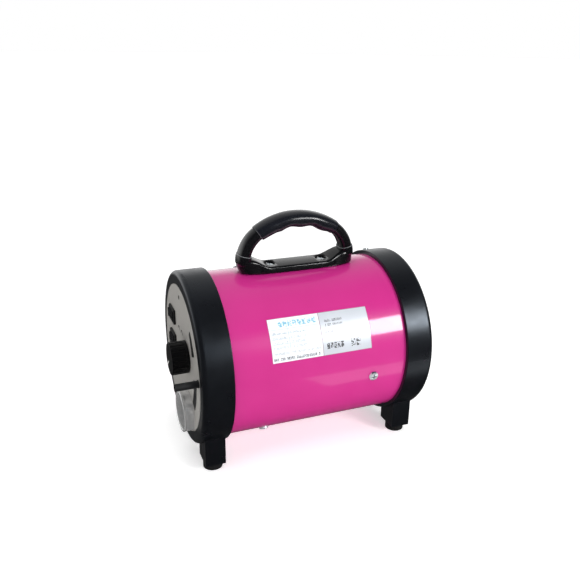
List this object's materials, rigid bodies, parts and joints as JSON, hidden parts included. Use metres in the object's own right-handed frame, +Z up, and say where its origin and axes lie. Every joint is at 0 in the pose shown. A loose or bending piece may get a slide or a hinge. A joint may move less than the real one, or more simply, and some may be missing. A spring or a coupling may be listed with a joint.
{
  "type": "pet dryer",
  "caption": "Cylinder pet dryer: pink steel drum between black end rings, top carrying handle, speed knob and hose outlet in front, pull-off filter cover behind, blower and heater inside.",
  "frame": {"origin": "on the resting surface under the middle of the machine's bounding box", "axes": "+X along the drum from the front face with the controls to the back, +Z up, so the side with the labels faces -Y"},
  "size_m": [0.2684, 0.18, 0.2483],
  "materials": {
    "pink_paint": "gloss paint",
    "black_gloss": "gloss",
    "satin_silver": "satin",
    "black_print": "printed",
    "black_plastic": "satin moulded",
    "zinc_steel": "bright zinc",
    "knob_black": "satin moulded",
    "pointer_white": "moulded",
    "rocker_black": "gloss",
    "black_rubber": "matt",
    "label_white": "satin film",
    "label_silver": "satin film",
    "handle_black": "semi gloss",
    "grip_black": "semi gloss",
    "filter_foam": "open-cell foam",
    "galvanised": "zinc sheet",
    "cast_aluminium": "as cast",
    "spun_aluminium": "polished",
    "core_steel": "laminated",
    "copper": "varnished",
    "carbon": "carbon",
    "brass_slot": "drawn",
    "mica": "mica board",
    "board_green": "solder mask",
    "post_white": "nylon",
    "liner_felt": "needle felt"
  },
  "bodies": {
    "machine": {"body_shell": "pink_paint", "front_ring": "black_gloss", "rear_ring": "black_gloss", "front_plate": "satin_silver", "face_trims": "black_plastic", "speed_scale": "black_print", "outlet_spigot": "spun_aluminium", "pot_body": "zinc_steel", "pot_nut": "zinc_steel", "power_switch": "black_plastic", "heat_switch": "black_plastic", "cord_gland": "black_rubber", "gland_nut": "black_plastic", "rating_label": "label_white", "info_label": "label_silver", "side_screws": "zinc_steel", "ring_screws": "zinc_steel", "handle_frame": "handle_black", "handle_grip": "grip_black", "handle_screws": "zinc_steel", "handle_nuts": "zinc_steel", "rubber_feet": "black_rubber", "foot_screws": "zinc_steel", "rear_bulkhead": "galvanised", "bulkhead_nuts": "zinc_steel", "inlet_gasket": "black_rubber", "fan_housing": "galvanised", "diffuser": "cast_aluminium", "motor_frame": "galvanised", "motor_endcap": "cast_aluminium", "stator": "core_steel", "field_coils": "copper", "bearings": "zinc_steel", "brushes": "carbon", "brush_holders": "brass_slot", "front_damper": "black_rubber", "front_bulkhead": "galvanised", "air_duct": "galvanised", "heater_former": "mica", "heater_coils": "zinc_steel", "thermal_cutout": "black_plastic", "control_board": "board_green", "board_posts": "post_white", "board_parts": "black_plastic", "sound_liner": "liner_felt"},
    "knob": {"speed_knob": "knob_black", "knob_pointer": "pointer_white", "pot_shaft": "zinc_steel"},
    "power_switch_rocker": {"power_rocker": "rocker_black"},
    "heat_switch_rocker": {"heat_rocker": "rocker_black"},
    "rotor": {"impeller": "cast_aluminium", "impeller_nut": "zinc_steel", "armature": "core_steel", "commutator": "copper", "motor_shaft": "zinc_steel"},
    "filter_cover": {"rear_grille": "black_plastic", "filter_foam": "filter_foam"}
  },
  "joints": [
    {"name": "knob_turn", "type": "hinge", "parent": "machine", "child": "knob", "pos_m": [-0.1162, -0.0244, 0.1152], "axis": [1, 0, 0], "range_deg": [0, 270]},
    {"name": "power_rock", "type": "hinge", "parent": "machine", "child": "power_switch_rocker", "pos_m": [-0.109, 0.036, 0.137], "axis": [0, 0, 1], "range_deg": [0, 12]},
    {"name": "heat_rock", "type": "hinge", "parent": "machine", "child": "heat_switch_rocker", "pos_m": [-0.109, 0.036, 0.109], "axis": [0, 0, 1], "range_deg": [0, 12]},
    {"name": "rotor_spin", "type": "hinge", "parent": "machine", "child": "rotor", "pos_m": [-0.0012, 0, 0.103], "axis": [1, 0, 0], "continuous": true},
    {"name": "cover_pull", "type": "slide", "parent": "machine", "child": "filter_cover", "axis": [1, 0, 0], "range_m": [0, 0.03]}
  ]
}
